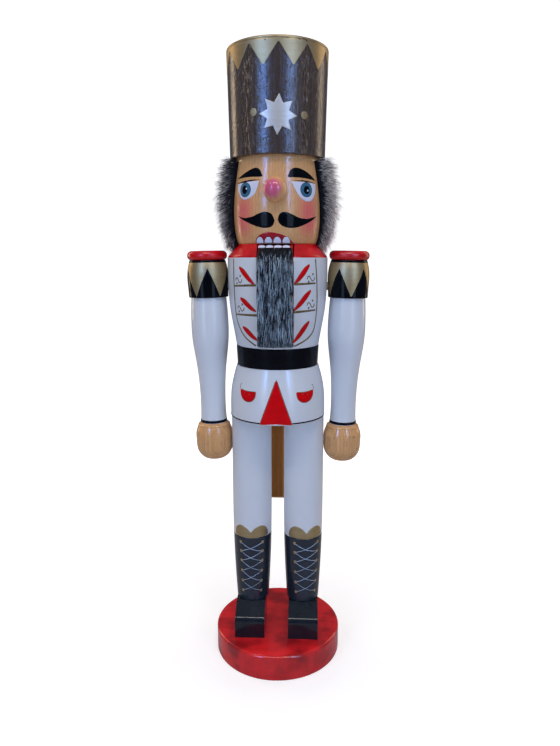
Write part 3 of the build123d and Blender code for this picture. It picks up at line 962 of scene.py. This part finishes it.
def paintSkirt(skirt):
    apex, left, right = roundBy(skirt, skirtPaint["panel"])
    foot = [left, (left + right) / 2, right]
    paintLeaf("skirtRed", skirt, [left, apex, right], foot, 0.4, 61, corners=((1,), ()))
    for corner in (left, right):
        paintStroke("skirtLines", skirt, [corner, apex + 0.05 * (corner - apex)], [1.9, 1.1], 0.3)
    for outer, inner, low in skirtPaint["pockets"]:
        a, b, c = roundBy(skirt, (outer, inner, low))
        turn = np.linspace(0, math.pi, 13)
        share = (1 - np.cos(turn)) / 2
        bag = a + share[:, None] * (b - a)
        bag[:, 1] -= ((a[1] + b[1]) / 2 - c[1]) * np.sin(turn) ** 0.8
        brim = [a, (a + b) / 2 + (0, -1.0), b]
        paintLeaf("skirtRed", skirt, brim, bag, 0.4)
        paintStroke("skirtLines", skirt, bag, 1.2, 0.34)
        paintStroke("skirtLines", skirt, brim, 0.9, 0.34)
        side = math.copysign(1, c[0])
        for across, down in ((0.34, 3.4), (0.62, 5.0)):
            paintOval("skirtLines", skirt, a + across * (b - a) - (0, down), 2.0, 2.2, 0.55, 16)
        end = a if side < 0 else b
        hook = [end, end + (side * 1.2, 3.4), end + (-side * 0.6, 6.6), end + (-side * 3.4, 8.2)]
        paintStroke("skirtLines", skirt, hook, [1.2, 1.0, 0.9, 0.6], 0.3)
    long = skirtPaint["hemLength"]
    for start, stop in ((right[0] - 0.5, right[0] + long), (left[0] - long, left[0] + 0.5)):
        across = np.linspace(start, stop, 60)
        hem = np.stack([across, np.full(60, skirtPaint["hem"])], axis=1)
        paintStroke("skirtBlack", skirt, hem, 2.2, 0.3)


# Painted boots: heights are mm above the foot, the lobes' places are degrees round from the middle of
# the shin, and the laces' are mm
bootPaint = {
    "blackTop": (110.5, 111.5, 110.0, 109.0),   # mm up, in front, beside the gold, at the side and behind
    "lobes": ((-58, 111.5), (-56.5, 119), (-50, 126), (-38, 130.4), (-24, 130.2), (-12, 126), (-1.5, 119.6),
              (9, 126), (22, 129.8), (36, 129.6), (48, 125), (54.5, 118), (56, 112)),
    "lobeFoot": ((-58, 111.5), (-30, 110.2), (0, 109.6), (30, 110.4), (56, 112)),
    "eyelets": (101.5, 86.0, 69.5, 52.0, 34.0, 16.5),
    "eyeletWide": (18.6, 15.4),             # half the distance between a pair, at the top and bottom
    "eyeletSize": (5.0, 5.6), "laceWidth": 1.1, "ankle": 1.4,
    "turned": {"left": 1.0, "right": 12.6},     # degrees that the paint is turned round the leg
    "spread": {"left": 1.0, "right": 1.08},
}


def paintBoot(side):
    leg = f"{side}_leg"
    middle = middleOf(leg)
    low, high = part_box(leg)
    surface = turnedSurface(leg, Vector((middle.x, middle.y, low.z)), Vector((middle.x, middle.y, high.z)))
    surface["turned"] = bootPaint["turned"][side]
    radius = surface["radii"].max() / mm
    angle = np.linspace(0, 2 * math.pi, 96, endpoint=False)
    away = np.degrees(np.minimum(angle, 2 * math.pi - angle))
    paintBand(f"{side}BootBlack", surface, np.full(96, -0.8), np.interp(away, (0, 50, 80, 180),
                                                                     bootPaint["blackTop"]), 0.22)
    lobes = [(math.radians(turn) * radius, up) for turn, up in bootPaint["lobes"]]
    arc = [(math.radians(turn) * radius, up) for turn, up in bootPaint["lobeFoot"]]
    paintLeaf(f"{side}BootGold", surface, lobes, arc, 0.36, 81, corners=((len(lobes) // 2,), ()))
    heights = bootPaint["eyelets"]
    spread = np.interp(heights, (heights[-1], heights[0]), bootPaint["eyeletWide"][::-1])
    spread = spread * bootPaint["spread"][side]
    for half, height in zip(spread, heights):
        for way in (-1, 1):
            paintOval(f"{side}BootEyelets", surface, np.array((way * half, height)),
                      *bootPaint["eyeletSize"], 0.45, 20)
    for row in range(len(heights) - 1):
        half, nextHalf = spread[row], spread[row + 1]
        high, low = heights[row], heights[row + 1]
        for way in (-1, 1):
            sag = 2.4 if way > 0 else 0.8
            middle = (0, (high + low) / 2 - sag)
            paintStroke(f"{side}BootLaces", surface, [(-way * half, high), middle, (way * nextHalf, low)],
                        bootPaint["laceWidth"] * (1 - 0.09 * row), 0.4)
    paintStroke(f"{side}BootLaces", surface, [(-13, 3.4), (0, bootPaint["ankle"]), (13, 3.4)], 0.4, 0.26)


# Painted shoulders and wrists
sleevePaint = {
    "cuffTeeth": 5, "cuffTurn": {"left": 8.0, "right": 42.0}, "cuffLow": 1.5, "cuffHigh": 44.5,
    "wristLow": 0.9, "wristHigh": 5.4,
}


def paintArm(side):
    fist, cap = middleOf(f"{side}_fist"), middleOf(f"{side}_shoulder_cap")
    cuff = turnedSurface(f"{side}_shoulder_cuff", fist, cap)
    edge = zigzag(sleevePaint["cuffTeeth"], sleevePaint["cuffTurn"][side], sleevePaint["cuffLow"] + 0.6,
                  sleevePaint["cuffHigh"], 14)
    paintBand(f"{side}CuffBlackAndShadow", cuff, np.full(len(edge), sleevePaint["cuffLow"] - 0.8), edge, 0.25)
    around = np.full(72, 1.0)
    height = (cuff["top"] - cuff["bottom"]) / mm
    # A black band round the cuff's top, just under the cap: painted shadow of the cap.
    paintBand(f"{side}CuffBlackAndShadow", cuff, around * (height - 3.8), around * (height - 0.2), 0.3)
    arm = turnedSurface(f"{side}_arm", fist, cap)
    paintBand(f"{side}WristBlack", arm, around * sleevePaint["wristLow"], around * sleevePaint["wristHigh"],
              0.5)


# Fur
furLook = {
    "seed": 7,
    "strandRings": 4, "rootWidth": 0.85, "tipWidth": 0.4,      # mm
    "widthSpread": (0.7, 1.2),
    "hairPieces": 4, "hairStrands": 6400, "hairLength": (11, 25), "hairClumps": 900,
    "hairScatter": (0.22, 0.20),        # radians that a strand strays, up and round
    "hairEnds": 0.25,                   # how much shorter strands are at the hair's top and bottom
    "hairFront": (0.35, 0.28),          # radians back from the front edge, and how much shorter it is there
    "hairPull": 0.45, "hairStray": 3.0, "hairLoose": 1.0,       # into a clump, and mm off it
    "hairBend": 0.35, "hairBendStray": 2.0,
    "roundToMm": 60,                    # mm on the head for one radian round it
    "guardShare": 0.28, "guardLength": (20, 38), "guardWidth": 0.75,        # long stiff hairs
    # painted light: how much paler the hair is made towards the figure's left hand, where more light falls
    "guardExtra": 2.5, "guardMost": 9,      # mm
    "paintedLightSide": 0.20,
    "beardPieces": 2, "beardStrands": 4600, "beardLength": (17, 33), "beardClumps": 420,
    "beardLift": (12, 5, 22),           # degrees off the beard: usual, its scatter, and what the lock adds
    "beardFan": (0.03, 0.085),
    "beardPull": 0.3, "beardLoose": 0.8, "beardBendStray": 2.6, "beardWidth": 1.05,
    "beardLock": 14.0,      # mm below the beard's top edge over which short strands stand out more
    "lockShorter": 0.55,
}


# Tapered three-sided strands: each follows root + t(tip - root) + t(1 - t) bend, and ends in a
# point.
def strandMesh(name, roots, tips, bends, widths, tone):
    rings = furLook["strandRings"]
    count = len(roots)
    t = np.linspace(0, 1, rings + 1)[:-1]
    line = (roots[:, None] + t[None, :, None] * (tips - roots)[:, None]
            + (t * (1 - t))[None, :, None] * bends[:, None])
    ahead = (tips - roots) / np.linalg.norm(tips - roots, axis=1, keepdims=True)
    helper = np.where(np.abs(ahead[:, 2:]) < 0.8, np.array([[0, 0, 1.0]]), np.array([[1.0, 0, 0]]))
    a = np.cross(ahead, helper)
    a /= np.linalg.norm(a, axis=1, keepdims=True)
    b = np.cross(ahead, a)
    half = widths[:, None] * (1 + (furLook["tipWidth"] / furLook["rootWidth"] - 1) * t[None, :]) / 2
    turn = np.arange(3) / 3 * 2 * math.pi
    ring = np.cos(turn)[None, :, None] * a[:, None] + np.sin(turn)[None, :, None] * b[:, None]
    points = line[:, :, None] + half[:, :, None, None] * ring[:, None]
    points = np.concatenate([points.reshape(count, -1, 3), tips[:, None]], axis=1)
    each = rings * 3 + 1
    tube = gridFaces(rings, 3, closeColumns=True)
    tube = np.concatenate([tube[:, [0, 1, 2]], tube[:, [0, 2, 3]]])
    last = (rings - 1) * 3
    point = np.array([[last, last + 1, each - 1], [last + 1, last + 2, each - 1], [last + 2, last, each - 1]])
    one = np.concatenate([tube, point, [[2, 1, 0]]])
    faces = (one[None] + (np.arange(count) * each)[:, None, None]).reshape(-1, 3)
    piece = meshObject(name, points.reshape(-1, 3), faces)
    along = np.concatenate([np.repeat(t, 3), [1.0]])
    for label, values in (("along", np.tile(along, count)), ("tone", np.repeat(tone, each))):
        layer = piece.data.attributes.new(label, "FLOAT", "POINT")
        layer.data.foreach_set("value", values.astype(np.float32))
    return piece


# Which clump each strand belongs to, by the nearest clump's place, and the mean tip of each clump.
def makeClumps(dice, places, tips, howMany):
    clumps = places[dice.integers(0, len(places), howMany)]
    which = ((places[:, None] - clumps[None]) ** 2).sum(-1).argmin(1)
    middle = np.zeros((howMany, 3))
    np.add.at(middle, which, tips)
    middle /= np.maximum(np.bincount(which, minlength=howMany), 1)[:, None]
    return which, middle


hairShape = {
    "frontTop": 60.0, "frontLow": 75.0,     # degrees to the hair's front edge, under the hat and at the jaw
    "low": -3.0, "high": 113.0,             # mm above the chin
    "peltLift": 0.5, "peltThick": 1.8,
    "riseTop": 10.0, "riseLow": -58.0,      # degrees that strands point up under the hat and down at the neck
    "sweepBack": 16.0,
}


# Angle of the hair's front edge at a height in mm: it runs back towards the jaw.
def hairEdge(height):
    share = np.clip(height / hairShape["high"], 0, 1)
    return np.radians(hairShape["frontLow"] + (hairShape["frontTop"] - hairShape["frontLow"]) * share)


def makeHair(head, materials):
    rows, columns = 40, 90
    height = np.linspace(hairShape["low"] + 3.5, hairShape["high"], rows)
    edge = hairEdge(height)
    share = np.linspace(0, 1, columns)
    angle = edge[:, None] + share[None, :] * (2 * math.pi - 2 * edge)[:, None]
    tall = np.repeat(height[:, None], columns, axis=1) * mm
    lift = hairShape["peltLift"]
    outer = onSurface(head, angle, tall, np.full_like(angle, (lift + hairShape["peltThick"]) * mm))
    inner = onSurface(head, angle, tall, np.full_like(angle, lift * mm))
    pelt = closedShell("hairPelt", outer, inner)
    pelt.data.materials.append(materials["furBacking"])
    pieces = []
    for part in range(furLook["hairPieces"]):
        dice = np.random.default_rng(furLook["seed"] + part)
        count = furLook["hairStrands"]
        up = dice.uniform(hairShape["low"] + 4, hairShape["high"], count)
        front = hairEdge(up)
        first = part / furLook["hairPieces"]
        share = first + dice.uniform(0, 1, count) / furLook["hairPieces"]
        turn = front + share * (2 * math.pi - 2 * front)
        piece = growHair(f"hair{part + 1}", head, dice, turn, up)
        piece.data.materials.append(materials["hairFur"])
        pieces.append(piece)
    for piece in [pelt, *pieces]:
        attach(piece, "figure")
        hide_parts("hair")
    print("hair:", len(pieces) * furLook["hairStrands"], "strands")


# Strands stand out from the head, up under the hat and down at the neck, and lean back and into
# clumps.
def growHair(name, head, dice, turn, up):
    count = len(turn)
    roots = onSurface(head, turn, up * mm, np.full(count, (hairShape["peltLift"] + 1.0) * mm))
    share = np.clip(up / hairShape["high"], 0, 1)
    rise = np.radians(hairShape["riseLow"] + (hairShape["riseTop"] - hairShape["riseLow"]) * share)
    rise += dice.normal(0, furLook["hairScatter"][0], count)
    back = np.radians(hairShape["sweepBack"]) * np.sin(turn)
    lean = turn + back + dice.normal(0, furLook["hairScatter"][1], count)
    out = np.stack([np.sin(lean), -np.cos(lean), np.zeros(count)], axis=1)
    aim = out * np.cos(rise)[:, None] + np.array([[0, 0, 1.0]]) * np.sin(rise)[:, None]
    guard = dice.uniform(0, 1, count) < furLook["guardShare"]
    length = np.where(guard, dice.uniform(*furLook["guardLength"], count),
                      dice.uniform(*furLook["hairLength"], count))
    length *= 1 - furLook["hairEnds"] * np.abs(2 * share - 1) ** 2
    extra = np.minimum(dice.exponential(furLook["guardExtra"], count), furLook["guardMost"])
    length += np.where(guard, extra, 0)
    frontReach, frontShorter = furLook["hairFront"]
    fromFront = np.minimum(turn, 2 * math.pi - turn) - hairEdge(up)
    length *= 1 - frontShorter * (1 - np.clip(fromFront, 0, frontReach) / frontReach)
    tips = roots + aim * (length * mm)[:, None]
    places = np.stack([turn * furLook["roundToMm"], up], axis=1)
    which, clumpTip = makeClumps(dice, places, tips, furLook["hairClumps"])
    stray = dice.normal(0, furLook["hairStray"] * mm, clumpTip.shape)
    pull = dice.uniform(0.0, furLook["hairPull"], count)[:, None]
    tips = tips + pull * (clumpTip[which] + stray[which] - tips)
    tips = tips + dice.normal(0, furLook["hairLoose"] * mm, (count, 3))
    bends = np.array([[0, 0, 1.0]]) * (length * mm * furLook["hairBend"])[:, None]
    bends = bends + dice.normal(0, furLook["hairBendStray"] * mm, (count, 3))
    widths = np.full(count, furLook["rootWidth"] * mm) * dice.uniform(*furLook["widthSpread"], count)
    tone = dice.uniform(0, 1, len(clumpTip))[which] * 0.35 + dice.uniform(0, 1, count) * 0.72
    tone = np.clip(tone + furLook["paintedLightSide"] * np.sin(turn), 0, 1)      # painted light: paler towards the figure's left hand, the right side in view, where more light falls
    tone = np.where(guard, 0.35 + 0.65 * tone, 0.9 * tone)
    widths = np.where(guard, furLook["guardWidth"], 1.0) * widths
    return strandMesh(name, roots, tips, bends, widths, tone)


# A sheet with a thickness: an outer and an inner grid, joined round their rims.
def closedShell(name, outer, inner):
    rows, columns = outer.shape[:2]
    loop = np.concatenate([outer, inner[:, ::-1]], axis=1)
    faces = [gridFaces(rows, 2 * columns, closeColumns=True)]
    for row in (0, rows - 1):
        start = row * 2 * columns
        c = np.arange(columns - 1)
        faces.append(np.stack([start + c, start + c + 1, start + 2 * columns - 2 - c,
                               start + 2 * columns - 1 - c], axis=1))
    made = meshObject(name, loop.reshape(-1, 3), np.concatenate(faces))
    outwardNormals(made)
    return made


beardShape = {
    "top": 4.6,             # mm below the jaw's top
    "bottom": 511.0,        # mm above the floor
    "half": 23.0, "thick": 2.0,
    "leaves": 40.0,         # mm above the jaw's bottom, where the beard leaves the jaw and hangs straight
    "flatness": 0.55,       # how much less than the jaw the beard bends round, as a share of x
}


# How far in front of the axis the beard's middle lies: on the jaw's face, and below that straight down.
def beardLine(jaw, height):
    level = np.clip(height, jaw["bottom"] + beardShape["leaves"] * mm, jaw["top"] - 0.2 * mm)
    return np.interp(level, jaw["levels"], jaw["radii"])


# The depth at a place across and up the beard: a circle of that radius, with x scaled down.
def beardDepth(jaw, x, z):
    return np.sqrt(np.maximum(beardLine(jaw, z) ** 2 - (beardShape["flatness"] * x) ** 2, 0))


def makeBeard(jaw, materials):
    top, bottom = jaw["top"] - beardShape["top"] * mm, beardShape["bottom"] * mm
    half = beardShape["half"] * mm
    rows, columns = 60, 16
    height = np.linspace(bottom, top, rows)
    across = np.linspace(-half, half, columns)
    x, z = np.meshgrid(across, height)
    inner = np.stack([x, -beardDepth(jaw, x, z) - 0.6 * mm, z], axis=-1)
    outer = inner - np.array([0, beardShape["thick"] * mm, 0])
    pelt = closedShell("beardPelt", outer, inner)
    pelt.data.materials.append(materials["furBacking"])
    pieces = []
    for part in range(furLook["beardPieces"]):
        dice = np.random.default_rng(furLook["seed"] + 50 + part)
        count = furLook["beardStrands"]
        x = dice.uniform(-half, half, count)
        z = bottom + (top - bottom) * dice.uniform(0.02, 1, count)
        roots = np.stack([x, -beardDepth(jaw, x, z) - 1.6 * mm, z], axis=1)
        length = dice.uniform(*furLook["beardLength"], count) * mm
        length = np.minimum(length, (z - bottom) + 3 * mm)
        lock = np.clip(1 - (top - z) / (furLook["beardLock"] * mm), 0, 1)
        length = length * (1 - furLook["lockShorter"] * lock)
        usual, scatter, more = furLook["beardLift"]
        lift = np.radians(dice.normal(usual, scatter, count) + more * lock)
        fan = x / half * furLook["beardFan"][0] + dice.normal(0, furLook["beardFan"][1], count)
        aim = np.stack([fan, -np.sin(lift), -np.cos(lift)], axis=1)
        tips = roots + aim * length[:, None]
        places = np.stack([x, z], axis=1)
        which, clumpTip = makeClumps(dice, places, tips, furLook["beardClumps"])
        pull = dice.uniform(0.0, furLook["beardPull"], count)[:, None]
        sideways = clumpTip[which] - tips
        sideways[:, 2] *= 0.2
        tips = tips + pull * sideways + dice.normal(0, furLook["beardLoose"] * mm, (count, 3))
        tips[:, 0] = np.clip(tips[:, 0], -half - 1.5 * mm, half + 1.5 * mm)
        bends = np.array([[0, -1.0, 0]]) * (length * (0.3 + 0.3 * lock))[:, None]
        bends += dice.normal(0, furLook["beardBendStray"] * mm, (count, 3))
        bends += np.array([[0, 0, 0.5]]) * (length * lock)[:, None]
        widths = np.full(count, furLook["beardWidth"] * furLook["rootWidth"] * mm)
        widths *= dice.uniform(*furLook["widthSpread"], count)
        tone = np.clip(dice.uniform(0, 1, len(clumpTip))[which] * 0.4 + dice.uniform(0, 1, count) * 0.6
                       - 0.25 * lock, 0, 1)
        piece = strandMesh(f"beard{part + 1}", roots, tips, bends, widths, tone)
        piece.data.materials.append(materials["beardFur"])
        pieces.append(piece)
    for piece in [pelt, *pieces]:
        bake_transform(piece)
        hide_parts("beard")
    print("beard:", len(pieces) * furLook["beardStrands"], "strands")


# The whole figure
bpy.context.scene.view_settings.view_transform = "Standard"
makeCamera()
makeWorld()
makeLights()
makeFloor()
materials = makeMaterials()
dressNodes(materials)
print("stage and materials ready")

headSurface = turnedSurface("head")
jawSurface = turnedSurface("jaw_block", Vector((0, 0, 0)), Vector((0, 0, 1)), spread=(0,))
paintHat(turnedSurface("hat"))
paintFace(headSurface)
paintJaw(jawSurface)
paintJacket(turnedSurface("torso", facing=60.0))
paintSkirt(turnedSurface("skirt_block"))
for side in ("left", "right"):
    paintBoot(side)
    paintArm(side)

paintLooks = {
    "hatGold": ("figure", "gold_paint", materials["gold"]),
    "hatChips": ("figure", "dark_stain", materials["hatWood"]),
    "hatStar": ("figure", "gold_paint", materials["starGoldSheen"]),
    "faceBlack": ("figure", "black_paint", materials["black"]),
    "eyeWhites": ("figure", "white_lacquer", materials["toothWhite"]),
    "irises": ("figure", "black_paint", materials["eyeBlue"]),
    "lips": ("figure", "red_paint", materials["lipRed"]),
    "upperTeeth": ("figure", "white_lacquer", materials["toothWhite"]),
    "toothOutlines": ("figure", "black_paint", materials["black"]),
    "lowerTeeth": ("jaw", "white_lacquer", materials["toothWhite"]),
    "gum": ("jaw", "red_paint", materials["lipRed"]),
    "jawOutlinesAndSeamShade": ("jaw", "black_paint", materials["black"]),
    "jacketLines": ("figure", "gold_paint", materials["goldLine"]),
    "jacketRed": ("figure", "red_paint", materials["red"]),
    "skirtRed": ("figure", "red_paint", materials["red"]),
    "skirtLines": ("figure", "gold_paint", materials["goldLine"]),
    "skirtBlack": ("figure", "black_paint", materials["black"]),
}
for side in ("left", "right"):
    paintLooks[f"{side}BootBlack"] = ("figure", "black_paint", materials["bootBlack"])
    paintLooks[f"{side}BootGold"] = ("figure", "gold_paint", materials["gold"])
    paintLooks[f"{side}BootEyelets"] = ("figure", "gold_paint", materials["gold"])
    paintLooks[f"{side}BootLaces"] = ("figure", "white_lacquer", materials["laceBlue"])
    paintLooks[f"{side}CuffBlackAndShadow"] = ("figure", "black_paint", materials["black"])
    paintLooks[f"{side}WristBlack"] = ("figure", "black_paint", materials["black"])
finishPots(paintLooks)

makeHair(headSurface, materials)
makeBeard(jawSurface, materials)
